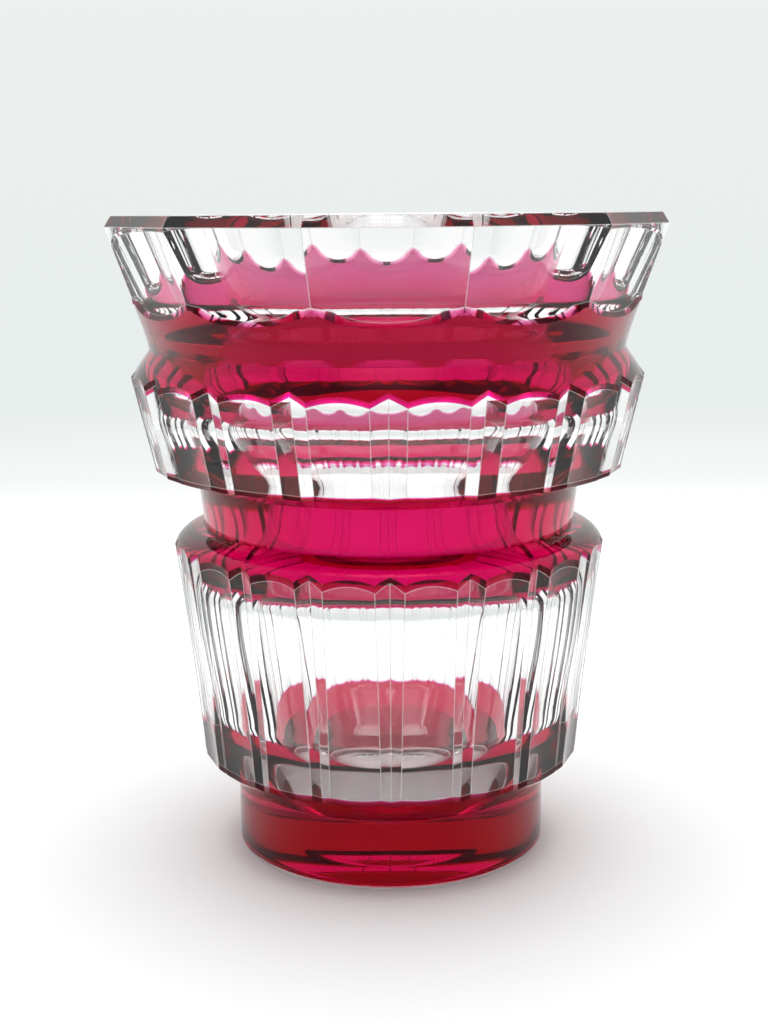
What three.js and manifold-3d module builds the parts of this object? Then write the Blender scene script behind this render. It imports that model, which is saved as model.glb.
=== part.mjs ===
// Cased glass vase: a heavy clear crystal body with a ruby layer fused over it. The ruby is cut away on
// three belts of wheel cutting, so it is left as three bands: on the neck, on the waist and on the foot.
// Millimetres, +Z up, origin at the centre of the foot's resting face. The front, azimuth 0, is -Y.

import * as THREE from 'three';
import { mergeVertices } from 'three/addons/utils/BufferGeometryUtils.js';
import Module from 'manifold-3d';

// Overall
const HEIGHT = 250;
const AROUND = 54; // facets in a full turn
const CUT_FACETS = 3; // facets across one hollow cut
const SWEEP_STEPS = 2; // straight steps along a swept cut
const RUN_OUT_FACETS = 4;
const FOOT_EDGE_FACETS = 1;
const SHOULDER_FACETS = 2;
const NECK_FACETS = 2;
const FLOOR_FACETS = 2;
const CAVITY_FACETS = 11; // up the cavity's wall
const HOLLOW_FACETS = 1; // across each hollow under the foot, from its middle to its edge
const LAYER_GAP = 0.3; // between a ruby band and the crystal under it

// Ruby bands, each with its own thickness
const NECK_RUBY = 1.5;
const WAIST_RUBY = 1.4;
const FOOT_RUBY = 1.7;

// Foot: an upright wall with a rounded lower edge
const FOOT_RADIUS = 61.7;
const FOOT_EDGE_RADIUS = 2.2;
const FOOT_TOP = 27.9; // where the barrel's underside meets the foot
const REST_STEP = 0.8; // from the flat ground resting face, of clear crystal, to the rounded edge
const RUBY_LIFT = 0.5; // the ruby is ground back this far from the table
const REST_INNER_RADIUS = 50; // the resting face is a ring round a shallow hollow
const HOLLOW_DEPTH = 1.9;
const PONTIL_RADIUS = 28; // a second hollow in the middle, where the pontil mark was ground out
const PONTIL_DEPTH = 1;

// Barrel: the lower belt of grooves and flutes
const BARREL_BOTTOM = 38.8;
const BARREL_TOP = 123.2;
const BARREL_EDGE_BOTTOM = 74.9; // radius of the sharp edges between cuts
const BARREL_EDGE_TOP = 84.6;
const BARREL_SWEEP = 0.6; // how far the belt's outline falls inside a straight line at mid height
const BARREL_GROOVE_BOTTOM = 73.8; // radius at the bottom of a groove
const BARREL_GROOVE_TOP = 82.75;
const BARREL_FLUTE_BOTTOM = 73.7; // radius at the middle of a flute
const BARREL_FLUTE_TOP = 83.5;
const BARREL_FLUTE_HOLLOW = 75; // radius of the flute's hollow
const BARREL_GROOVE_ANGLE = 146; // degrees between a groove's two flanks
const BARREL_SHOULDER_IN = 2.4; // from the top edge to the shoulder curve's control point
const BARREL_SHOULDER_UP = 6.3;

// Waist: between the barrel's shoulder and the ring
const WAIST_BOTTOM_RADIUS = 72.8;
const WAIST_BOTTOM = 130.9;
const WAIST_TOP_RADIUS = 74.6;
const WAIST_TOP = 148.2;

// Ring: the upper belt of grooves and flutes
const RING_BOTTOM = 154;
const RING_TOP = 188.9;
const RING_EDGE_BOTTOM = 91.2;
const RING_EDGE_TOP = 99.3;
const RING_GROOVE_BOTTOM = 88.7;
const RING_GROOVE_TOP = 96.6;
const RING_FLUTE_BOTTOM = 89.9;
const RING_FLUTE_TOP = 97.8;
const RING_FLUTE_HOLLOW = 66;
const RING_GROOVE_ANGLE = 138;
const RING_SHOULDER_IN = 2.1; // from the top edge to the shoulder curve's control point
const RING_SHOULDER_UP = 3.4;

// Neck: from the ring's shoulder to the cut panels
const NECK_RADIUS = 92;
const NECK_BOTTOM = 199.6;
const NECK_CURL_OUT = 0.9; // from the neck's lowest point to its curve's control point
const NECK_CURL_UP = 6;
const FLARE_RADIUS = 97.6; // where the edges between panels run out
const FLARE_TOP = 217.6;
const BLANK_RADIUS = 112; // of the rim before its panels are cut
const BLANK_SHOULDER = 237;

// Rim: twelve panels, each with a bevel above and a rounded run-out below
const PANEL_COUNT = 12;
const RIM_CORNER_RADIUS = 107.6; // corner between two panels, under the bevel
const PANEL_SLOPE = 0.341; // outward lean for each unit of height
const PANEL_HOLLOW = 0.55; // how far the middle of a panel lies inside its edges
const RUN_OUT_START = 220.7;
const RUN_OUT_RADIUS = 8.7;
const BEVEL_HEIGHT = 4;
const BEVEL_WIDTH = 2.4;

// Belts
const CUT_COUNT = 18; // grooves on each belt, with as many flutes between them
const BELT_STOCK = 2; // glass outside the sharp edges before the belts are cut
const CUTTER_REACH = 14; // how far a cutter stands out of its cut
const CUTTER_RUN = 12; // how far a cutter runs past a belt's lower and upper edge

// Cavity: a level floor, a taper that is rounded at both ends, and a wall that follows the outside
const FLOOR_HEIGHT = 25;
const FLOOR_FLAT_RADIUS = 22;
const TAPER_BOTTOM_RADIUS = 32; // where the taper's line meets the floor
const TAPER_TOP_RADIUS = 55; // where it meets the wall
const TAPER_TOP = 51;
const TAPER_ROUNDING = 0.25; // share of the taper that is rounded at each end
const WALL_BOTTOM_RADIUS = 55.5;
const WALL_BOTTOM = 59;
const WELL_RADIUS = 59; // inside the barrel
const WELL_HEIGHT = 92;
const WELL_TOP_RADIUS = 60.5;
const WELL_TOP = 110;
const THROAT_BOTTOM_RADIUS = 55.8; // inside the waist
const THROAT_BOTTOM = 124;
const THROAT_RADIUS = 54.8;
const THROAT_HEIGHT = 133;
const THROAT_TOP_RADIUS = 62;
const THROAT_TOP = 150;
const BULGE_RADIUS = 73; // inside the ring
const BULGE_HEIGHT = 173;
const BULGE_TOP_RADIUS = 72;
const BULGE_TOP = 185;
const COLLAR_RADIUS = 66.8; // inside the neck
const COLLAR_HEIGHT = 201;
const BOWL_RADIUS = 70.5; // inside the rim
const BOWL_HEIGHT = 216;
const MOUTH_RADIUS = 84.3;
const MOUTH_ARRIS = 1; // small bevel at the mouth's inner edge

const wasm = await Module();
wasm.setup();

const point = (radius, height) => new THREE.Vector2(radius, height);
const radians = (degrees) => THREE.MathUtils.degToRad(degrees);

// Points on a quadratic curve, without its first point, so that curves can follow each other.
function curve(start, control, end, pieces) {
  return new THREE.QuadraticBezierCurve(start, control, end).getPoints(pieces).slice(1);
}

// Points on the underside from one radius up to another, without the last: a shallow hollow, with a
// second one in its middle.
function hollowPoints(from, to) {
  return Array.from({ length: HOLLOW_FACETS }, (_, i) => {
    const radius = from + ((to - from) * i) / HOLLOW_FACETS;
    const shallow = HOLLOW_DEPTH * (1 - (radius / REST_INNER_RADIUS) ** 2);
    const pontil = PONTIL_DEPTH * Math.max(0, 1 - (radius / PONTIL_RADIUS) ** 2);
    return point(radius, shallow + pontil);
  });
}

// The same outline moved inwards by a depth, with mitred corners. The outline runs upwards.
function inset(outline, depth) {
  return outline.map((here, i) => {
    const before = outline[Math.max(i - 1, 0)];
    const after = outline[Math.min(i + 1, outline.length - 1)];
    const sides = [[before, here], [here, after]]
      .map(([a, b]) => b.clone().sub(a))
      .filter((side) => side.length() > 0)
      .map((side) => new THREE.Vector2(-side.y, side.x).normalize());
    const mitre = sides.reduce((sum, side) => sum.add(side), new THREE.Vector2()).normalize();
    return here.clone().addScaledVector(mitre, depth / mitre.dot(sides[0]));
  });
}

// A closed mesh as a solid, with shared vertices merged and flat triangles at the axis left out.
function solid(geometry) {
  geometry.deleteAttribute('normal');
  geometry.deleteAttribute('uv');
  const merged = mergeVertices(geometry);
  const corners = merged.index.array;
  const triVerts = [];
  for (let i = 0; i < corners.length; i += 3) {
    const [a, b, c] = corners.slice(i, i + 3);
    if (a !== b && b !== c && c !== a) triVerts.push(a, b, c);
  }
  return new wasm.Manifold(
    new wasm.Mesh({
      numProp: 3,
      vertProperties: new Float32Array(merged.attributes.position.array),
      triVerts: new Uint32Array(triVerts),
    }),
  );
}

// An outline of radius and height, running anticlockwise, turned about the vase's axis.
function turned(outline) {
  const geometry = new THREE.LatheGeometry(outline, AROUND);
  return solid(geometry.rotateX(Math.PI / 2));
}

// A belt's cutter: a cross-section drawn in across and outward directions, extruded along the belt
// from one point of radius and height to another, at an azimuth in degrees. A swept belt's cutter is
// bowed, so that it cuts deepest at mid height and runs out on the straight line at the belt's edges.
function beltCutter(section, low, high, azimuth, sweep) {
  const lean = high.clone().sub(low);
  const length = lean.length();
  lean.normalize();
  const run = CUTTER_RUN / lean.y;
  const geometry = new THREE.ExtrudeGeometry(section, {
    depth: length + 2 * run,
    steps: sweep > 0 ? SWEEP_STEPS : 1,
    bevelEnabled: false,
    curveSegments: CUT_FACETS,
  });
  geometry.translate(0, 0, -run);
  const { position } = geometry.attributes;
  for (let i = 0; i < position.count; i += 1) {
    const fromMiddle = (2 * position.getZ(i)) / length - 1;
    position.setY(i, position.getY(i) - sweep * (1 - fromMiddle ** 2));
  }
  const [east, south] = [Math.sin(radians(azimuth)), -Math.cos(radians(azimuth))];
  const across = new THREE.Vector3(south, -east, 0);
  const outward = new THREE.Vector3(east * lean.y, south * lean.y, -lean.x);
  const along = new THREE.Vector3(east * lean.x, south * lean.x, lean.y);
  const place = new THREE.Matrix4().makeBasis(across, outward, along);
  place.setPosition(east * low.x, south * low.x, low.y);
  return solid(geometry.applyMatrix4(place));
}

// Cross-section of a hollow flute: an arc that touches the flute's middle, open to the outside.
function fluteSection(halfWidth, hollow) {
  const half = Math.asin(halfWidth / hollow);
  const section = new THREE.Shape();
  section.moveTo(halfWidth, CUTTER_REACH);
  section.lineTo(-halfWidth, CUTTER_REACH);
  section.absarc(0, hollow, hollow, -Math.PI / 2 - half, -Math.PI / 2 + half, false);
  return section;
}

// Cross-section of a groove: two flat flanks that meet at its bottom.
function grooveSection(halfWidth, angle) {
  const rise = halfWidth / Math.tan(radians(angle / 2));
  const section = new THREE.Shape();
  section.moveTo(0, 0);
  section.lineTo(halfWidth, rise);
  section.lineTo(halfWidth, CUTTER_REACH);
  section.lineTo(-halfWidth, CUTTER_REACH);
  section.lineTo(-halfWidth, rise);
  return section;
}

// All the cuts of one belt: a groove at the front and at every step, and a flute between each two.
function beltCutters(belt) {
  const step = 360 / CUT_COUNT;
  const halfWidth = belt.edgeTop * Math.tan(radians(step / 2));
  const flute = fluteSection(halfWidth, belt.fluteHollow);
  const groove = grooveSection(halfWidth, belt.grooveAngle);
  const fluteLine = [point(belt.fluteBottom, belt.bottom), point(belt.fluteTop, belt.top)];
  const grooveLine = [point(belt.grooveBottom, belt.bottom), point(belt.grooveTop, belt.top)];
  return Array.from({ length: CUT_COUNT }, (_, i) => [
    beltCutter(groove, ...grooveLine, i * step, belt.sweep),
    beltCutter(flute, ...fluteLine, (i + 0.5) * step, belt.sweep),
  ]).flat();
}

// The rim panels' cutters. Each is drawn from the side as distance from the axis and height, with a
// round run-out below, a leaning panel and a bevel up to the rim, then extruded across the panel and
// bent a little, so that the panel is hollow.
function panelCutters() {
  const halfPanel = RIM_CORNER_RADIUS * Math.sin(Math.PI / PANEL_COUNT);
  const panelEdge = RIM_CORNER_RADIUS * Math.cos(Math.PI / PANEL_COUNT);
  const bevelFoot = point(panelEdge - PANEL_HOLLOW, HEIGHT - BEVEL_HEIGHT);
  const lean = Math.atan(PANEL_SLOPE);
  const start = point(bevelFoot.x - PANEL_SLOPE * (bevelFoot.y - RUN_OUT_START), RUN_OUT_START);
  const centre = point(
    start.x + RUN_OUT_RADIUS * Math.cos(lean),
    start.y - RUN_OUT_RADIUS * Math.sin(lean),
  );
  const outside = BLANK_RADIUS + CUTTER_REACH;
  const side = new THREE.Shape();
  side.moveTo(outside, HEIGHT + CUTTER_REACH);
  side.lineTo(bevelFoot.x - BEVEL_WIDTH * (1 + CUTTER_REACH / BEVEL_HEIGHT), HEIGHT + CUTTER_REACH);
  side.lineTo(bevelFoot.x, bevelFoot.y);
  side.absarc(centre.x, centre.y, RUN_OUT_RADIUS, Math.PI - lean, 1.5 * Math.PI, false);
  side.lineTo(outside, centre.y - RUN_OUT_RADIUS);
  const halfWidth = outside * Math.tan(Math.PI / PANEL_COUNT);
  return Array.from({ length: PANEL_COUNT }, (_, i) => {
    const geometry = new THREE.ExtrudeGeometry(side, {
      depth: 2 * halfWidth,
      steps: CUT_FACETS,
      bevelEnabled: false,
      curveSegments: RUN_OUT_FACETS,
    });
    geometry.translate(0, 0, -halfWidth);
    const { position } = geometry.attributes;
    for (let j = 0; j < position.count; j += 1) {
      position.setX(j, position.getX(j) + PANEL_HOLLOW * (position.getZ(j) / halfPanel) ** 2);
    }
    geometry.rotateX(Math.PI / 2);
    geometry.rotateZ(((i - PANEL_COUNT / 4) * 2 * Math.PI) / PANEL_COUNT);
    return solid(geometry);
  });
}

// A point outside a belt's sharp edge, on the belt's uncut glass and on a line from the edge.
function stockPoint(edge, direction, beltSlope) {
  const run = BELT_STOCK / (direction.x - beltSlope * direction.y);
  return edge.clone().addScaledVector(direction, run);
}

const barrelSlope = (BARREL_EDGE_TOP - BARREL_EDGE_BOTTOM) / (BARREL_TOP - BARREL_BOTTOM);
const ringSlope = (RING_EDGE_TOP - RING_EDGE_BOTTOM) / (RING_TOP - RING_BOTTOM);

// The underside, from the axis outwards: the two hollows and the resting ring.
const restRadius = FOOT_RADIUS - FOOT_EDGE_RADIUS - REST_STEP;
const underFoot = [
  ...hollowPoints(0, PONTIL_RADIUS),
  ...hollowPoints(PONTIL_RADIUS, REST_INNER_RADIUS),
  point(REST_INNER_RADIUS, 0),
  point(restRadius, 0),
];

// Outer surface of each band, upwards. It runs past the belts' sharp edges into the uncut glass.
const footEdge = point(FOOT_RADIUS - FOOT_EDGE_RADIUS, RUBY_LIFT);
const footCorner = point(FOOT_RADIUS, RUBY_LIFT);
const footWall = point(FOOT_RADIUS, RUBY_LIFT + FOOT_EDGE_RADIUS);
const footTop = point(FOOT_RADIUS, FOOT_TOP);
const barrelFoot = point(BARREL_EDGE_BOTTOM, BARREL_BOTTOM);
const footBand = [
  point(restRadius + LAYER_GAP, RUBY_LIFT),
  footEdge,
  ...curve(footEdge, footCorner, footWall, FOOT_EDGE_FACETS),
  footTop,
  stockPoint(barrelFoot, barrelFoot.clone().sub(footTop), barrelSlope),
];

const shoulderEdge = point(BARREL_EDGE_TOP, BARREL_TOP);
const shoulderBulge = point(-BARREL_SHOULDER_IN, BARREL_SHOULDER_UP);
const waistFoot = point(WAIST_BOTTOM_RADIUS, WAIST_BOTTOM);
const waistTop = point(WAIST_TOP_RADIUS, WAIST_TOP);
const ringFoot = point(RING_EDGE_BOTTOM, RING_BOTTOM);
const waistBand = [
  stockPoint(shoulderEdge, shoulderBulge.clone().negate(), barrelSlope),
  shoulderEdge,
  ...curve(shoulderEdge, shoulderEdge.clone().add(shoulderBulge), waistFoot, SHOULDER_FACETS),
  waistTop,
  stockPoint(ringFoot, ringFoot.clone().sub(waistTop), ringSlope),
];

const ringEdge = point(RING_EDGE_TOP, RING_TOP);
const ringBulge = point(-RING_SHOULDER_IN, RING_SHOULDER_UP);
const neckFoot = point(NECK_RADIUS, NECK_BOTTOM);
const neckCurl = point(NECK_RADIUS + NECK_CURL_OUT, NECK_BOTTOM + NECK_CURL_UP);
const neckFlare = point(FLARE_RADIUS, FLARE_TOP);
const neckBand = [
  stockPoint(ringEdge, ringBulge.clone().negate(), ringSlope),
  ringEdge,
  ...curve(ringEdge, ringEdge.clone().add(ringBulge), neckFoot, SHOULDER_FACETS),
  ...curve(neckFoot, neckCurl, neckFlare, NECK_FACETS),
  point(BLANK_RADIUS, BLANK_SHOULDER),
];

// The cavity's wall, from the floor up to the mouth.
const floorEdge = point(FLOOR_FLAT_RADIUS, FLOOR_HEIGHT);
const taperBottom = point(TAPER_BOTTOM_RADIUS, FLOOR_HEIGHT);
const taperTop = point(TAPER_TOP_RADIUS, TAPER_TOP);
const taperStart = taperBottom.clone().lerp(taperTop, TAPER_ROUNDING);
const taperEnd = taperTop.clone().lerp(taperBottom, TAPER_ROUNDING);
const wallBottom = point(WALL_BOTTOM_RADIUS, WALL_BOTTOM);
const cavity = [
  point(0, FLOOR_HEIGHT),
  floorEdge,
  ...curve(floorEdge, taperBottom, taperStart, FLOOR_FACETS),
  taperEnd,
  ...curve(taperEnd, taperTop, wallBottom, FLOOR_FACETS),
  ...new THREE.SplineCurve([
    wallBottom,
    point(WELL_RADIUS, WELL_HEIGHT),
    point(WELL_TOP_RADIUS, WELL_TOP),
    point(THROAT_BOTTOM_RADIUS, THROAT_BOTTOM),
    point(THROAT_RADIUS, THROAT_HEIGHT),
    point(THROAT_TOP_RADIUS, THROAT_TOP),
    point(BULGE_RADIUS, BULGE_HEIGHT),
    point(BULGE_TOP_RADIUS, BULGE_TOP),
    point(COLLAR_RADIUS, COLLAR_HEIGHT),
    point(BOWL_RADIUS, BOWL_HEIGHT),
    point(MOUTH_RADIUS, HEIGHT - MOUTH_ARRIS),
  ]).getPoints(CAVITY_FACETS).slice(1),
  point(MOUTH_RADIUS + MOUTH_ARRIS, HEIGHT),
];

// The crystal blank: the underside, the surface under each band with the belts' uncut glass
// between them, the rim, and the cavity.
const blank = turned([
  ...underFoot,
  point(restRadius, RUBY_LIFT + FOOT_RUBY + LAYER_GAP),
  ...inset(footBand, FOOT_RUBY + LAYER_GAP),
  ...inset(waistBand, WAIST_RUBY + LAYER_GAP),
  ...inset(neckBand, NECK_RUBY + LAYER_GAP),
  point(BLANK_RADIUS, HEIGHT),
  ...cavity.toReversed(),
]);

const cutters = [
  ...beltCutters({
    bottom: BARREL_BOTTOM,
    sweep: BARREL_SWEEP,
    top: BARREL_TOP,
    edgeTop: BARREL_EDGE_TOP,
    grooveBottom: BARREL_GROOVE_BOTTOM,
    grooveTop: BARREL_GROOVE_TOP,
    grooveAngle: BARREL_GROOVE_ANGLE,
    fluteBottom: BARREL_FLUTE_BOTTOM,
    fluteTop: BARREL_FLUTE_TOP,
    fluteHollow: BARREL_FLUTE_HOLLOW,
  }),
  ...beltCutters({
    bottom: RING_BOTTOM,
    sweep: 0,
    top: RING_TOP,
    edgeTop: RING_EDGE_TOP,
    grooveBottom: RING_GROOVE_BOTTOM,
    grooveTop: RING_GROOVE_TOP,
    grooveAngle: RING_GROOVE_ANGLE,
    fluteBottom: RING_FLUTE_BOTTOM,
    fluteTop: RING_FLUTE_TOP,
    fluteHollow: RING_FLUTE_HOLLOW,
  }),
  ...panelCutters(),
];
const wheelCuts = wasm.Manifold.union(cutters);

const crystal = new THREE.MeshStandardMaterial({
  color: '#f4f6f7',
  roughness: 0.03,
  metalness: 0,
  transparent: true,
  opacity: 0.35,
});
const ruby = new THREE.MeshStandardMaterial({
  color: '#b0093c',
  roughness: 0.04,
  metalness: 0,
  transparent: true,
  opacity: 0.75,
});

// A cut solid as a named mesh.
function piece(name, shape, material) {
  const { vertProperties, triVerts } = shape.getMesh();
  const geometry = new THREE.BufferGeometry();
  geometry.setAttribute('position', new THREE.BufferAttribute(vertProperties, 3));
  geometry.setIndex(new THREE.BufferAttribute(triVerts, 1));
  geometry.computeVertexNormals();
  const mesh = new THREE.Mesh(geometry, material);
  mesh.name = name;
  return mesh;
}

// A ruby band: its outer surface and the same surface one thickness further in, turned and then cut.
function rubyBand(name, outline, thickness) {
  const shell = turned([...outline, ...inset(outline, thickness).reverse(), outline[0]]);
  return piece(name, shell.subtract(wheelCuts), ruby);
}

const vase = new THREE.Group();
vase.add(
  piece('clear_body', blank.subtract(wheelCuts), crystal),
  rubyBand('neck_casing', neckBand, NECK_RUBY),
  rubyBand('waist_casing', waistBand, WAIST_RUBY),
  rubyBand('foot_casing', footBand, FOOT_RUBY),
);

export default vase;
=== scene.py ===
import math

import bpy
import mathutils
import numpy as np
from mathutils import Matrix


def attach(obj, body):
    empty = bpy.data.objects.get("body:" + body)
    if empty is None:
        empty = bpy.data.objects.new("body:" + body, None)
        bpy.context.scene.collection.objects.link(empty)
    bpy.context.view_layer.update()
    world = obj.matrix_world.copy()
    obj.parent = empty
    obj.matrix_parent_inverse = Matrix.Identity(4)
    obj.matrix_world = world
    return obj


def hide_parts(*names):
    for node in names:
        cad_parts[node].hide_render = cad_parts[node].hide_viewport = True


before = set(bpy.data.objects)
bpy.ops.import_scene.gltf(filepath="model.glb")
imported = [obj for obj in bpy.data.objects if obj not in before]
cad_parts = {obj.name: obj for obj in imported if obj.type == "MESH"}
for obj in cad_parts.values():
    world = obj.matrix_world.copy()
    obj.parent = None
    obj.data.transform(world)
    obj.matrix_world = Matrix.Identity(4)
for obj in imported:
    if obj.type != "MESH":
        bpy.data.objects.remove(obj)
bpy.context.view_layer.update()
bpy.context.scene.view_settings.view_transform = "Standard"


# Crystal body
# Heavy lead crystal, blown thick in a mould, cased, then cut on the wheel and brought back to a bright
# polish. Eighteen V-grooves alternate with eighteen hollow flutes on the barrel and on the ring, and
# twelve hollow panels shape the rim. Sizes are in millimetres, and azimuth 0 is the front.

METRE = 1000  # millimetres
HEIGHT = 250
COLUMNS = 360  # one column of the surface for each degree
GROOVE_STEP = 20  # degrees from groove to groove
GROOVE_COLUMNS = 4  # columns from a groove's bottom to its sharp edge
PANEL_STEP = 30
FUSED_GAP = 0.02  # keeps the ruby's surface off the crystal's, where the two are one glass
NECK_BOTTOM = (92.0, 199.6)  # radius and height where the ring's shoulder turns into the neck

column = np.arange(COLUMNS)
from_groove = (column + GROOVE_STEP // 2) % GROOVE_STEP - GROOVE_STEP // 2
from_panel = (column + PANEL_STEP // 2) % PANEL_STEP - PANEL_STEP // 2

# Heights, and at each the radii at the groove's bottom, the sharp edge and the flute's middle, and the
# degrees from the groove's bottom to the sharp edge
BARREL = {"z": (38.8, 81.0, 123.2), "groove": (73.8, 77.65, 82.7), "edge": (74.9, 79.15, 84.6),
          "flute": (73.7, 78.0, 83.5), "angle": (2.71, 3.17, 3.63)}
RING = {"z": (154.0, 171.45, 188.9), "groove": (88.7, 92.65, 96.6), "edge": (91.2, 95.25, 99.3),
        "flute": (89.9, 93.85, 97.8), "angle": (3.7, 3.7, 3.7)}


def through(belt, name, z):
    """A belt's size at height z, on the parabola through its low, middle and high values."""
    return np.polyval(np.polyfit(belt["z"], belt[name], 2), z)


def azimuth(z):
    """Radians round the vase. Columns lean a little, so that one lies on each sharp edge."""
    edge_heights = (*BARREL["z"], *RING["z"], NECK_BOTTOM[1])
    edge = np.interp(z, edge_heights, (*BARREL["angle"], *RING["angle"], GROOVE_COLUMNS))
    offset = np.abs(from_groove)
    half = GROOVE_STEP / 2
    on_flute = edge + (offset - GROOVE_COLUMNS) / (half - GROOVE_COLUMNS) * (half - edge)
    leaned = np.where(offset <= GROOVE_COLUMNS, offset / GROOVE_COLUMNS * edge, on_flute)
    return np.radians(column - from_groove + np.sign(from_groove) * leaned)


def belt_cut(belt, z):
    """Radius of a belt's cut surface: straight flanks from the groove's bottom to the sharp edge, and
    a hollow flute w = middle + k u squared from edge to edge."""
    groove, edge, flute = (through(belt, name, z) for name in ("groove", "edge", "flute"))
    half = math.radians(GROOVE_STEP / 2)
    a = np.abs(azimuth(z) - np.radians(column - from_groove))
    e = np.radians(through(belt, "angle", z))
    rise = edge * np.cos(e) - groove
    reach = edge * np.sin(e)
    flank = groove * reach / (reach * np.cos(a) - rise * np.sin(a))
    b = half - a
    k = (edge * np.cos(half - e) - flute) / (edge * np.sin(half - e)) ** 2
    root = np.sqrt(np.cos(b) ** 2 - 4 * k * flute * np.sin(b) ** 2)
    hollow = 2 * flute / (np.cos(b) + root)
    return np.where(np.abs(from_groove) <= GROOVE_COLUMNS, flank, hollow)


def barrel_cut(z):
    """Radius of the barrel's belt at height z, in each column."""
    return belt_cut(BARREL, z)


def ring_cut(z):
    """Radius of the ring's belt at height z, in each column."""
    return belt_cut(RING, z)


PANEL_TOP = 245.92  # where the rim's bevel starts
PANEL_RADIUS = 103.35  # at the middle of a panel, under the bevel
PANEL_SLOPE = 0.341  # outward lean for each unit of height
PANEL_HOLLOW = 0.55  # how far the middle of a panel lies inside its edges
PANEL_HALF = 27.85  # half of a panel's width at its top
BEVEL_WIDTH = 2.4
BEVEL_ROW = 248  # height of one row of the surface on the bevel
RUN_OUT_START, RUN_OUT_RADIUS = 220.7, 8.7


def panel_cut(z):
    """Radius of a rim panel. Its middle line leans outwards, turns into a round run-out below and a
    flat bevel above, and the panel is hollow by a parabola across."""
    lean = math.atan(PANEL_SLOPE)
    start = PANEL_RADIUS - PANEL_SLOPE * (PANEL_TOP - RUN_OUT_START)
    centre_r = start + RUN_OUT_RADIUS * math.cos(lean)
    centre_z = RUN_OUT_START - RUN_OUT_RADIUS * math.sin(lean)
    depth = np.sqrt(np.maximum(RUN_OUT_RADIUS**2 - (z - centre_z) ** 2, 0))
    panel = PANEL_RADIUS - PANEL_SLOPE * (PANEL_TOP - z)
    bevel = PANEL_RADIUS - BEVEL_WIDTH * (z - PANEL_TOP) / (HEIGHT - PANEL_TOP)
    middle = np.where(z < RUN_OUT_START, centre_r - depth, np.where(z > PANEL_TOP, bevel, panel))
    across = np.radians(from_panel)
    hollow = PANEL_HOLLOW * (middle * np.tan(across) / PANEL_HALF) ** 2
    return (middle + hollow) / np.cos(across)


REST_RADIUS = 59.0  # outer edge of the ring that the vase rests on
REST_BEVEL = 1.3  # outward lean of the ground bevel round it, for each unit of height


def rest_cut(z):
    """Radius of the ground bevel round the resting ring at height z, in each column."""
    return np.broadcast_to(REST_RADIUS + z * REST_BEVEL, np.broadcast(z, column).shape)


def curve(start, control, end, pieces):
    """Points (radius, height) on a quadratic curve from start to end, with both of its ends."""
    t = np.linspace(0, 1, pieces + 1)[:, None]
    start, control, end = map(np.array, (start, control, end))
    return (1 - t) ** 2 * start + 2 * t * (1 - t) * control + t**2 * end


def smooth_through(points, pieces):
    """Points on a smooth curve through the given ones: a cubic between each two, whose slope at each
    point is half the step from the point before to the one after."""
    points = np.array([points[0], *points, points[-1]], dtype=float)
    t = (np.arange(pieces) / pieces)[:, None]
    parts = [((2 * b) + (c - a) * t + (2 * a - 5 * b + 4 * c - d) * t**2 + (3 * b - a - 3 * c + d) * t**3) / 2
             for a, b, c, d in zip(points, points[1:], points[2:], points[3:])]
    return np.vstack([*parts, points[-1:]])


def inset(outline, depth):
    """The outline moved inwards by a depth, with each corner on the bisector of its two sides."""
    side = np.diff(outline, axis=0)
    side /= np.linalg.norm(side, axis=1)[:, None]
    normal = np.stack([-side[:, 1], side[:, 0]], axis=1)
    before, after = np.vstack([normal[:1], normal]), np.vstack([normal, normal[-1:]])
    mitre = before + after
    mitre /= np.linalg.norm(mitre, axis=1)[:, None]
    return outline + depth * mitre / np.sum(mitre * before, axis=1)[:, None]


def distance(outline):
    """Distance along the outline at each of its points."""
    return np.concatenate([[0], np.cumsum(np.linalg.norm(np.diff(outline, axis=0), axis=1))])


def at(outline, along):
    """Radius and height of the outline at these distances along it."""
    s = distance(outline)
    return np.interp(along, s, outline[:, 0]), np.interp(along, s, outline[:, 1])


HALVINGS = 40  # of the bracket in which a crossing is looked for


def crossing(outline, cut, low, high):
    """For each column, the distance along the outline where it passes through the cut surface. The
    bracket from low to high is halved until it is far finer than the mesh."""
    low, high = np.full(COLUMNS, float(low)), np.full(COLUMNS, float(high))

    def outside(along):
        radius, height = at(outline, along)
        return radius > cut(height)

    first = outside(low)
    for _ in range(HALVINGS):
        middle = (low + high) / 2
        same = outside(middle) == first
        low, high = np.where(same, middle, low), np.where(same, high, middle)
    return (low + high) / 2


def blend_rows(start, end, rows):
    """Rows of values from start to end, column by column, without the last row."""
    t = np.arange(rows)[:, None] / rows
    return start * (1 - t) + end * t


def band_surface(blank, depth, below, above):
    """The part of a blank's outline, at a depth inside it, that the cuts below and above leave
    standing: rows of radius, azimuth and height, with a row on each crease and the first and last
    rows on the cuts."""
    outline = inset(blank["outline"], depth)
    s = distance(outline)
    low = crossing(outline, below, s[0], s[blank["creases"][0]])
    high = crossing(outline, above, s[blank["creases"][-1]], s[-1])
    marks = [low, *(np.full(COLUMNS, s[i]) for i in blank["creases"]), high]
    steps = zip(marks, marks[1:], blank["rows"])
    along = np.vstack([*(blend_rows(start, end, rows) for start, end, rows in steps), high])
    radius, height = at(outline, along)
    return np.stack([radius, azimuth(height), height])


def cut_surface(cut, start, end, rows):
    """Rows on a cut surface from one height to another, without the first and last row."""
    height = blend_rows(start, end, rows)[1:]
    return np.stack([cut(height), azimuth(height), height])


def turned_rings(outline):
    """Level rings of radius, azimuth and height through each point of an outline."""
    radius, height = (np.repeat(outline[:, i:i + 1], COLUMNS, axis=1) for i in (0, 1))
    return np.stack([radius, azimuth(height), height])


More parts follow.
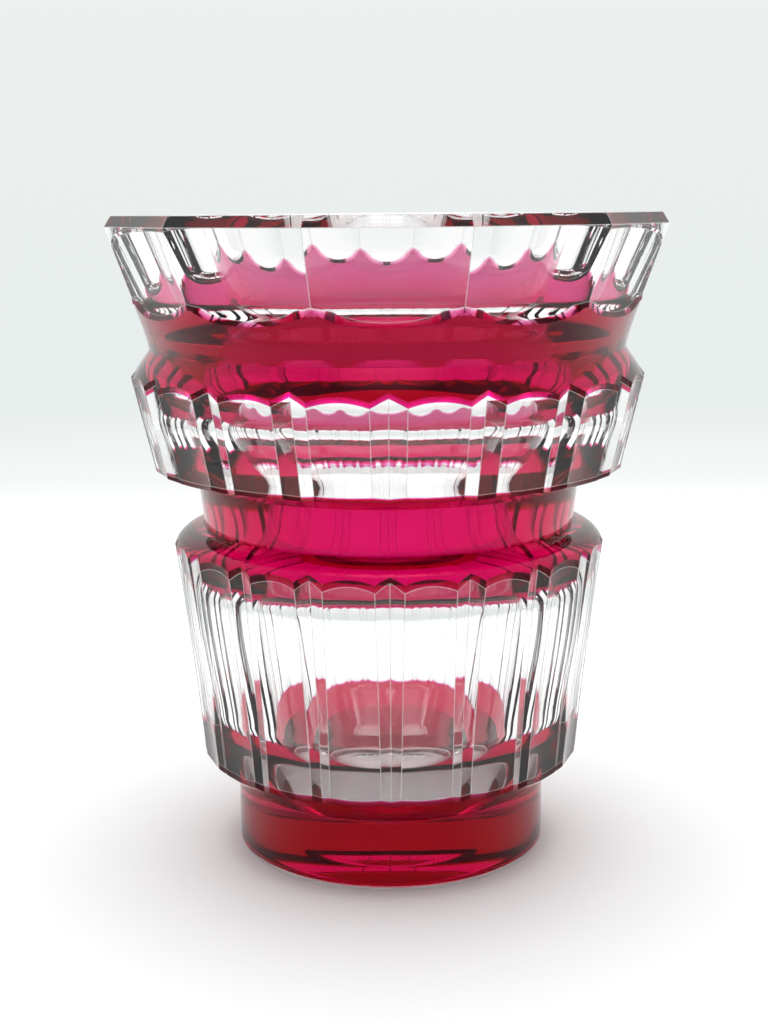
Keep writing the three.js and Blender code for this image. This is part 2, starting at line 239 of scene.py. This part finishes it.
# Outlines of the uncut blank, upwards, as points (radius, height) whose first and last lie past the
# cuts. With them go the point numbers of their creases and the rows between those.
FOOT_RADIUS, FOOT_TOP = 61.7, 27.9
FOOT_EDGE = 2.2  # radius of the rounded edge at the bottom
FOOT_EDGE_STEPS = 8
turn = np.linspace(0, math.pi / 2, FOOT_EDGE_STEPS + 1)
foot_round = np.stack([FOOT_RADIUS - FOOT_EDGE * (1 - np.sin(turn)), FOOT_EDGE * (1 - np.cos(turn))], 1)
FOOT = {"outline": np.vstack([foot_round, [(FOOT_RADIUS, FOOT_TOP), (79.14, 42.3)]]),
        "creases": (FOOT_EDGE_STEPS, FOOT_EDGE_STEPS + 1), "rows": (6, 6, 8)}

SHOULDER_STEPS = 24
BARREL_CORNER = (BARREL["edge"][-1], BARREL["z"][-1])
WAIST_BOTTOM, WAIST_TOP = (72.8, 130.9), (74.6, 148.2)
shoulder = curve(BARREL_CORNER, (82.2, 129.5), WAIST_BOTTOM, SHOULDER_STEPS)
WAIST = {"outline": np.vstack([[(86.12, 119.2)], shoulder, [WAIST_TOP, (96.92, 156.0)]]),
         "creases": (SHOULDER_STEPS + 1, SHOULDER_STEPS + 2), "rows": (20, 6, 8)}

RING_SHOULDER_STEPS, NECK_STEPS = 10, 16
RING_CORNER = (RING["edge"][-1], RING["z"][-1])
NECK_TOP = (97.6, 217.6)  # where the edges between the rim panels run out
ring_shoulder = curve(RING_CORNER, (97.2, 192.3), NECK_BOTTOM, RING_SHOULDER_STEPS)
neck = curve(NECK_BOTTOM, (92.9, 205.6), NECK_TOP, NECK_STEPS)
NECK = {"outline": np.vstack([[(101.8, 184.8)], ring_shoulder, neck[1:], [(106.5, 223.0)]]),
        "creases": (RING_SHOULDER_STEPS + 1,), "rows": (12, 20)}

NECK_RUBY, WAIST_RUBY, FOOT_RUBY = 1.5, 1.4, 1.7  # thickness of each ruby band

# The underside is a ring that the vase rests on, round a shallow hollow, and a second hollow in the
# middle where the pontil mark was ground out. Each is a parabola.
REST_INNER, HOLLOW_DEPTH = 50.0, 1.9
PONTIL_RADIUS, PONTIL_DEPTH = 28.0, 1.0
MIDDLE_RADIUS = 1  # of the level face in the middle
PONTIL_ROWS, HOLLOW_ROWS = 12, 10
hollow_radius = np.concatenate([np.linspace(MIDDLE_RADIUS, PONTIL_RADIUS, PONTIL_ROWS),
                                np.linspace(PONTIL_RADIUS, REST_INNER, HOLLOW_ROWS)[1:]])
hollow_height = (HOLLOW_DEPTH * (1 - (hollow_radius / REST_INNER) ** 2)
                 + PONTIL_DEPTH * np.maximum(0, 1 - (hollow_radius / PONTIL_RADIUS) ** 2))
underside = np.vstack([np.stack([hollow_radius, hollow_height], axis=1), [(REST_RADIUS, 0)]])

# The cavity, from the floor's middle: a level floor, a taper rounded at both ends, and a wall that
# follows the outside up to the mouth, which has a narrow bevel
FLOOR_EDGE, TAPER_BOTTOM, TAPER_TOP, WALL_BOTTOM = map(np.array, ((22, 25), (32, 25), (55, 51), (55.5, 59)))
TAPER_ROUNDING = 0.25  # share of the taper that is rounded at each end
TAPER_STEPS = 12
WALL_STEPS = 6  # from each of the wall's points to the next
IN_BARREL = [(60, 85), (61.8, 104), (60.8, 112)]
IN_WAIST = [(55.6, 122.5), (54.6, 132), (61, 150)]
IN_RING = [(70, 165), (74, 177), (71.8, 186), (67.5, 195)]
IN_NECK = [(65.2, 206), (69.5, 218)]
MOUTH, MOUTH_BEVEL = (84.3, 249), (85.3, HEIGHT)
rounding = TAPER_ROUNDING * (TAPER_TOP - TAPER_BOTTOM)
floor_round = curve(FLOOR_EDGE, TAPER_BOTTOM, TAPER_BOTTOM + rounding, TAPER_STEPS)
taper_round = curve(TAPER_TOP - rounding, TAPER_TOP, WALL_BOTTOM, TAPER_STEPS)
wall = smooth_through([WALL_BOTTOM, *IN_BARREL, *IN_WAIST, *IN_RING, *IN_NECK, MOUTH], WALL_STEPS)
cavity = np.vstack([floor_round, taper_round, wall[1:], [MOUTH_BEVEL]])

under_foot = band_surface(FOOT, FOOT_RUBY + FUSED_GAP, rest_cut, barrel_cut)
under_waist = band_surface(WAIST, WAIST_RUBY + FUSED_GAP, barrel_cut, ring_cut)
under_neck = band_surface(NECK, NECK_RUBY + FUSED_GAP, ring_cut, panel_cut)
barrel_belt = cut_surface(barrel_cut, under_foot[2, -1], under_waist[2, 0], rows=20)
ring_belt = cut_surface(ring_cut, under_waist[2, -1], under_neck[2, 0], rows=12)
run_out = cut_surface(panel_cut, under_neck[2, -1], np.full(COLUMNS, RUN_OUT_START), rows=14)
PANEL_ROWS = 6  # up to the bevel
row_heights = np.concatenate([np.linspace(RUN_OUT_START, PANEL_TOP, PANEL_ROWS), [BEVEL_ROW, HEIGHT]])
panel_height = np.broadcast_to(row_heights[:, None], (len(row_heights), COLUMNS))
panels = np.stack([panel_cut(panel_height), azimuth(panel_height), panel_height])
body_rings = np.concatenate([turned_rings(underside), under_foot, barrel_belt, under_waist, ring_belt,
                             under_neck, run_out, panels, turned_rings(cavity[::-1])], axis=1)

SHARP_ANGLE = 9  # degrees between two faces, from which the edge between them shows as sharp


def turned_mesh(name, rings, closed_loop):
    """A mesh from rings of radius, azimuth and height that run up the outside. A closed loop joins its
    last ring to its first, and otherwise a level face closes each end."""
    radius, angle, height = rings
    rows = radius.shape[0]
    points = np.stack([radius * np.sin(angle), -radius * np.cos(angle), height], axis=-1).reshape(-1, 3)
    row = np.arange(rows if closed_loop else rows - 1)[:, None]
    here, right = column[None, :], (column[None, :] + 1) % COLUMNS
    upper = (row + 1) % rows
    quads = np.stack([row * COLUMNS + here, row * COLUMNS + right,
                      upper * COLUMNS + right, upper * COLUMNS + here], axis=-1).reshape(-1, 4)
    faces = quads.tolist()
    if not closed_loop:
        last = (rows - 1) * COLUMNS
        faces.append(list(range(COLUMNS - 1, -1, -1)))
        faces.append(list(range(last, last + COLUMNS)))
    mesh = bpy.data.meshes.new(name)
    mesh.from_pydata((points / METRE).tolist(), [], faces)
    mesh.polygons.foreach_set("use_smooth", np.ones(len(faces), dtype=bool))
    mesh.update()
    mesh.set_sharp_from_angle(angle=math.radians(SHARP_ANGLE))
    piece = bpy.data.objects.new(name, mesh)
    bpy.context.scene.collection.objects.link(piece)
    return piece


def metres(size):
    """Millimetres as metres."""
    return size / METRE


def cells(size):
    """The scale at which a noise pattern's cells are this many millimetres wide."""
    return METRE / size


def linear(hex_colour):
    """An sRGB hex colour as linear red, green, blue and an alpha of 1."""
    parts = [int(hex_colour[i:i + 2], 16) / 255 for i in (1, 3, 5)]
    return (*(c / 12.92 if c <= 0.04045 else ((c + 0.055) / 1.055) ** 2.4 for c in parts), 1)


def add_node(tree, kind, inputs=None, **settings):
    """A node with its settings, and each input set to a value or linked from a socket."""
    node = tree.nodes.new(kind)
    for name, value in settings.items():
        setattr(node, name, value)
    for name, value in (inputs or {}).items():
        if isinstance(value, bpy.types.NodeSocket):
            tree.links.new(value, node.inputs[name])
        else:
            node.inputs[name].default_value = value
    return node


def step_up(tree, value, start, end, low=0.0, high=1.0):
    """A smooth step of the value from low at start to high at end."""
    return add_node(tree, "ShaderNodeMapRange", {
        "Value": value, "From Min": start, "From Max": end, "To Min": low, "To Max": high},
        interpolation_type="SMOOTHSTEP").outputs["Result"]


def times(tree, first, second):
    """The product of two values."""
    return add_node(tree, "ShaderNodeMath", {0: first, 1: second}, operation="MULTIPLY").outputs[0]


def larger(tree, first, second):
    """The larger of two values."""
    return add_node(tree, "ShaderNodeMath", {0: first, 1: second}, operation="MAXIMUM").outputs[0]


def object_place(tree):
    """Object coordinates, with the distance from the axis and the height, all in metres."""
    place = add_node(tree, "ShaderNodeTexCoord").outputs["Object"]
    axes = add_node(tree, "ShaderNodeSeparateXYZ", {"Vector": place})
    level = add_node(tree, "ShaderNodeCombineXYZ", {"X": axes.outputs["X"], "Y": axes.outputs["Y"]})
    radius = add_node(tree, "ShaderNodeVectorMath", {0: level.outputs[0]}, operation="LENGTH")
    return place, radius.outputs["Value"], axes.outputs["Z"]


# Lead crystal bends light more than window glass does, which makes the cuts sparkle
GLASS_IOR = 1.54
crystal = bpy.data.materials.new("polished_lead_crystal")
crystal.use_nodes = True
tree = crystal.node_tree
tree.nodes.clear()
place, radius, height = object_place(tree)

# Each sharp edge of the cuts keeps a trace of the grinding, a pale line within half a millimetre of it.
# Likeness is the cosine of the angle between the surface and the same surface with softened edges.
WORN_WIDTH = 0.5
FLAT_LIKENESS, EDGE_LIKENESS = 0.9999, 0.997
WORN_SHARE = 0.65
softened = add_node(tree, "ShaderNodeBevel", {"Radius": metres(WORN_WIDTH)}, samples=8)
true_normal = add_node(tree, "ShaderNodeNewGeometry").outputs["Normal"]
likeness = add_node(tree, "ShaderNodeVectorMath", {0: softened.outputs[0], 1: true_normal},
                    operation="DOT_PRODUCT")
worn_edge = step_up(tree, likeness.outputs["Value"], FLAT_LIKENESS, EDGE_LIKENESS, 0.0, WORN_SHARE)

# Ripples that run up and down the cuts, left by the wheel, and the slower unevenness of blown glass
RIPPLE_WIDTH, RIPPLE_DEPTH = 9.09, 0.012
RIPPLE_RISE = 0.3  # vertical scale, which draws the ripples out upwards
WAVE_WIDTH, WAVE_DEPTH = 31.25, 0.04
drawn_up = add_node(tree, "ShaderNodeMapping", {"Vector": place, "Scale": (1, 1, RIPPLE_RISE)}).outputs[0]
ripple = add_node(tree, "ShaderNodeTexNoise", {
    "Vector": drawn_up, "Scale": cells(RIPPLE_WIDTH), "Detail": 1.0})
wave = add_node(tree, "ShaderNodeTexNoise", {"Vector": place, "Scale": cells(WAVE_WIDTH), "Detail": 1.0})
wave_bump = add_node(tree, "ShaderNodeBump", {
    "Height": wave.outputs["Fac"], "Strength": 1.0, "Distance": metres(WAVE_DEPTH)})
ripple_bump = add_node(tree, "ShaderNodeBump", {
    "Height": ripple.outputs["Fac"], "Strength": 1.0, "Distance": metres(RIPPLE_DEPTH),
    "Normal": wave_bump.outputs[0]})

# The resting ring is ground, and worn grey by tables
GRIT_WIDTH = 0.556
GROUND_FADE = (0.6, 0.2)  # heights between which the ground surface comes in
GRIT_CONTRAST, GROUND_ROUGHNESS = (0.3, 0.7), (0.25, 0.5)
low_down = step_up(tree, height, *map(metres, GROUND_FADE))
off_hollow = step_up(tree, radius, metres(REST_INNER - 0.5), metres(REST_INNER + 0.5))
grit = add_node(tree, "ShaderNodeTexNoise", {"Vector": place, "Scale": cells(GRIT_WIDTH), "Detail": 3.0})
roughness = step_up(tree, grit.outputs["Fac"], *GRIT_CONTRAST, *GROUND_ROUGHNESS)
ground = times(tree, times(tree, low_down, off_hollow), roughness)

# A faint speckled pale film on the floor of the cavity and low on its wall: painted light, a pale diffuse
# layer put there to brighten the view through the taper
SPECKLE_WIDTH, SPECKLE_CONTRAST = 1.111, (0.35, 0.7)
PAINTED_FILM_RADIUS = (61.5, 60.5)  # the film comes in between these, so the outside of the foot has none
PAINTED_FILM_START, PAINTED_FILM_END = (15, 22), (85, 50)  # heights between which it comes in, and goes
PAINTED_FILM_SHARE = 0.01
within = step_up(tree, radius, *map(metres, PAINTED_FILM_RADIUS))
in_well = times(tree, within, step_up(tree, height, *map(metres, PAINTED_FILM_START)))
low_in_well = times(tree, in_well, step_up(tree, height, *map(metres, PAINTED_FILM_END)))
speckle = add_node(tree, "ShaderNodeTexNoise", {
    "Vector": place, "Scale": cells(SPECKLE_WIDTH), "Detail": 4.0})
speckled = step_up(tree, speckle.outputs["Fac"], *SPECKLE_CONTRAST, 0.0, PAINTED_FILM_SHARE)
# Painted light: the speckled pale film low in the cavity
painted_light_film = times(tree, low_in_well, speckled)

bright = add_node(tree, "ShaderNodeBsdfPrincipled", {
    "Base Color": linear("#ffffff"), "Roughness": ground, "IOR": GLASS_IOR, "Transmission Weight": 1.0,
    "Normal": ripple_bump.outputs[0]})
# The pale diffuse serves both the worn edges and the painted-light film in the cavity
worn_and_painted_light = add_node(tree, "ShaderNodeBsdfDiffuse", {"Color": linear("#dcdad8")})
crystal_face = add_node(tree, "ShaderNodeMixShader", {
    0: larger(tree, painted_light_film, worn_edge), 1: bright.outputs["BSDF"], 2: worn_and_painted_light.outputs["BSDF"]})
add_node(tree, "ShaderNodeOutputMaterial", {"Surface": crystal_face.outputs[0]})

# Where the ruby is fused on, light goes straight through from one glass to the other
fused = bpy.data.materials.new("fused_under_ruby")
fused.use_nodes = True
tree = fused.node_tree
tree.nodes.clear()
clear = add_node(tree, "ShaderNodeBsdfTransparent")
add_node(tree, "ShaderNodeOutputMaterial", {"Surface": clear.outputs["BSDF"]})

body = turned_mesh("crystal_body", body_rings, closed_loop=False)
body.data.materials.append(crystal)
body.data.materials.append(fused)
slot_of_row = np.zeros(body_rings.shape[1] - 1, dtype=int)
first_row = len(underside)
for covered, uncovered in ((under_foot, barrel_belt), (under_waist, ring_belt), (under_neck, run_out)):
    rows = covered.shape[1]
    slot_of_row[first_row:first_row + rows - 1] = 1
    first_row += rows + uncovered.shape[1]
slot_of_end_face = [0, 0]
slot_of_face = np.concatenate([np.repeat(slot_of_row, COLUMNS), slot_of_end_face])
body.data.polygons.foreach_set("material_index", slot_of_face)
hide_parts("clear_body")
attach(body, "root")


# Ruby bands
# A thin layer of ruby glass, gathered over the crystal while both were hot and fused to it, so the two
# are one glass. The wheel cuts went through it, and its cut edges show as bright red lines. Its colour
# is a little uneven, and lighter up the neck, where the flaring bowl stretched it.

BLOWN_WAVE_WIDTH, BLOWN_WAVE_DEPTH = 25, 0.05
STREAK_WIDTH = 40
STREAK_FLATTENING = 3  # vertical scale, which leaves the streaks running round
TINT_END, TINT_FULL = 212, 198  # heights between which the low tint comes in


def ruby_glass(name, colour, density, low_tint):
    """Ruby glass. Each metre of it takes up light by the density times one minus the colour. Each pass
    through the layer is tinted unevenly too, and low down on the neck also by the low tint."""
    material = bpy.data.materials.new(name)
    material.use_nodes = True
    tree = material.node_tree
    tree.nodes.clear()
    place, _, height = object_place(tree)
    wave = add_node(tree, "ShaderNodeTexNoise", {
        "Vector": place, "Scale": cells(BLOWN_WAVE_WIDTH), "Detail": 1.0})
    wave_bump = add_node(tree, "ShaderNodeBump", {
        "Height": wave.outputs["Fac"], "Strength": 1.0, "Distance": metres(BLOWN_WAVE_DEPTH)})
    bright = add_node(tree, "ShaderNodeBsdfPrincipled", {
        "Base Color": linear("#ffffff"), "Roughness": 0.0, "IOR": GLASS_IOR, "Transmission Weight": 1.0,
        "Specular Tint": linear("#ff7088"), "Normal": wave_bump.outputs[0]})
    drawn_round = add_node(tree, "ShaderNodeMapping", {
        "Vector": place, "Scale": (1, 1, STREAK_FLATTENING)}).outputs[0]
    streak = add_node(tree, "ShaderNodeTexNoise", {
        "Vector": drawn_round, "Scale": cells(STREAK_WIDTH), "Detail": 3.0})
    uneven = add_node(tree, "ShaderNodeMix", {
        "Factor": streak.outputs["Fac"], "A": linear("#ffffff"), "B": linear("#f4cfdc")},
        data_type="RGBA")
    low_down = step_up(tree, height, metres(TINT_END), metres(TINT_FULL))
    tinted = add_node(tree, "ShaderNodeMix", {
        "Factor": low_down, "A": uneven.outputs["Result"], "B": linear(low_tint)},
        data_type="RGBA", blend_type="MULTIPLY")
    straight_on = add_node(tree, "ShaderNodeBsdfTransparent", {"Color": tinted.outputs["Result"]})
    is_fused = add_node(tree, "ShaderNodeAttribute", attribute_name="fused")
    either = add_node(tree, "ShaderNodeMixShader", {
        0: is_fused.outputs["Fac"], 1: bright.outputs["BSDF"], 2: straight_on.outputs["BSDF"]})
    absorption = add_node(tree, "ShaderNodeVolumeAbsorption", {"Color": linear(colour), "Density": density})
    add_node(tree, "ShaderNodeOutputMaterial", {
        "Surface": either.outputs[0], "Volume": absorption.outputs["Volume"]})
    return material


deep_ruby = ruby_glass("ruby_casing_glass", "#f600d2", density=4400, low_tint="#ffffff")
light_ruby = ruby_glass("stretched_ruby_glass", "#ec00b6", density=1600, low_tint="#f0219e")


def ruby_band(name, node, glass, blank, thickness, below, above):
    """A ruby shell: its outer surface upwards, its cut edge, its fused surface downwards, and its
    lower cut edge back to the start."""
    outer = band_surface(blank, 0, below, above)
    inner = band_surface(blank, thickness, below, above)
    piece = turned_mesh(name, np.concatenate([outer, inner[:, ::-1]], axis=1), closed_loop=True)
    piece.data.materials.append(glass)
    outer_rows = outer.shape[1]
    on_fused = np.zeros((2 * outer_rows, COLUMNS), dtype=np.float32)
    on_fused[outer_rows:-1] = 1
    piece.data.attributes.new("fused", "FLOAT", "FACE").data.foreach_set("value", on_fused.ravel())
    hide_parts(node)
    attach(piece, "root")


ruby_band("neck_ruby", "neck_casing", light_ruby, NECK, NECK_RUBY, ring_cut, panel_cut)
ruby_band("waist_ruby", "waist_casing", deep_ruby, WAIST, WAIST_RUBY, barrel_cut, ring_cut)
ruby_band("foot_ruby", "foot_casing", deep_ruby, FOOT, FOOT_RUBY, rest_cut, barrel_cut)


# Stage
# A pale matt table that fades into a white studio behind it. The studio is bright above, at the sides
# and behind the vase, and dim on the camera's side. Sizes are in metres.

TABLE_Z = -0.0003  # just under the resting ring, so that the two faces don't share a plane
TABLE_HALF, TABLE_BACK = 4, 1
SHADE_START, SHADE_END = -0.35, 0.35  # the table's two tones blend between these, front to back
FADE_START, FADE_END = 0.45, 0.9
table_corners = [(-TABLE_HALF, -TABLE_HALF, TABLE_Z), (TABLE_HALF, -TABLE_HALF, TABLE_Z),
                 (TABLE_HALF, TABLE_BACK, TABLE_Z), (-TABLE_HALF, TABLE_BACK, TABLE_Z)]
floor_mesh = bpy.data.meshes.new("floor")
floor_mesh.from_pydata(table_corners, [], [(0, 1, 2, 3)])
floor = bpy.data.objects.new("floor", floor_mesh)
bpy.context.scene.collection.objects.link(floor)
table = bpy.data.materials.new("pale_matt_table")
table.use_nodes = True
tree = table.node_tree
tree.nodes.clear()
table_place = add_node(tree, "ShaderNodeTexCoord").outputs["Object"]
depth = add_node(tree, "ShaderNodeSeparateXYZ", {"Vector": table_place}).outputs["Y"]
shade = add_node(tree, "ShaderNodeMix", {
    "Factor": step_up(tree, depth, SHADE_START, SHADE_END), "A": linear("#eeeff0"), "B": linear("#eff1f0")},
    data_type="RGBA")
matt = add_node(tree, "ShaderNodeBsdfPrincipled", {"Base Color": shade.outputs["Result"], "Roughness": 0.6})
gone = add_node(tree, "ShaderNodeBsdfTransparent")
fade = add_node(tree, "ShaderNodeMixShader", {
    0: step_up(tree, depth, FADE_START, FADE_END), 1: matt.outputs["BSDF"], 2: gone.outputs["BSDF"]})
add_node(tree, "ShaderNodeOutputMaterial", {"Surface": fade.outputs[0]})
floor_mesh.materials.append(table)

# The studio's walls by height, from straight down at 0 to straight up at 1, and its light. The camera
# sees the walls at a strength of 1, and the light overhead is a small bright field.
WALL_SHADES = ((0.41, "#fcfdfd"), (0.44, "#e8eeed"), (0.55, "#ebf0ee"), (0.70, "#ffffff"))
NEAR_STRENGTH = 0.42  # of the camera's side
NEAR_END, FAR_START = -0.6, 0.3  # how far a direction points away from the camera
OVERHEAD_STRENGTH = 4.9
OVERHEAD_EDGE, OVERHEAD_FULL = 0.84, 0.98  # cosines of the angle from straight up
world = bpy.data.worlds.new("studio")
bpy.context.scene.world = world
world.use_nodes = True
tree = world.node_tree
tree.nodes.clear()
direction = add_node(tree, "ShaderNodeTexCoord").outputs["Generated"]
axes = add_node(tree, "ShaderNodeSeparateXYZ", {"Vector": direction})
upward = add_node(tree, "ShaderNodeMapRange", {"Value": axes.outputs["Z"], "From Min": -1, "From Max": 1})
wall_shade = add_node(tree, "ShaderNodeValToRGB", {"Fac": upward.outputs["Result"]})
stops = wall_shade.color_ramp.elements
stops[0].position, stops[1].position = WALL_SHADES[0][0], WALL_SHADES[-1][0]
for position, _ in WALL_SHADES[1:-1]:
    stops.new(position)
for stop, (_, colour) in zip(stops, WALL_SHADES):
    stop.color = linear(colour)
far_side = step_up(tree, axes.outputs["Y"], NEAR_END, FAR_START, NEAR_STRENGTH, 1.0)
overhead = step_up(tree, axes.outputs["Z"], OVERHEAD_EDGE, OVERHEAD_FULL, 0.0, OVERHEAD_STRENGTH)
seen = add_node(tree, "ShaderNodeLightPath").outputs["Is Camera Ray"]
background = add_node(tree, "ShaderNodeBackground", {
    "Color": wall_shade.outputs["Color"], "Strength": larger(tree, larger(tree, far_side, seen), overhead)})
add_node(tree, "ShaderNodeOutputWorld", {"Surface": background.outputs[0]})

# The camera stands level with the rim and looks down at the foot
CAMERA_PLACE = (-0.00183, -0.61758, 0.25189)
CAMERA_DOWN, CAMERA_ROLL = 10.877, -0.465  # degrees
camera_data = bpy.data.cameras.new("camera")
camera = bpy.data.objects.new("camera", camera_data)
bpy.context.scene.collection.objects.link(camera)
camera_data.sensor_fit = "VERTICAL"
camera_data.sensor_height = 36
camera_data.lens = 55.56
camera_data.clip_start = 0.01
tilt = mathutils.Matrix.Rotation(math.radians(90 - CAMERA_DOWN), 4, "X")
roll = mathutils.Matrix.Rotation(math.radians(CAMERA_ROLL), 4, "Z")
camera.matrix_world = mathutils.Matrix.Translation(CAMERA_PLACE) @ tilt @ roll
bpy.context.scene.camera = camera

# Light passes many faces of glass before it leaves the vase
scene = bpy.context.scene
scene.cycles.max_bounces = 32
scene.cycles.transmission_bounces = 32
scene.cycles.transparent_max_bounces = 48
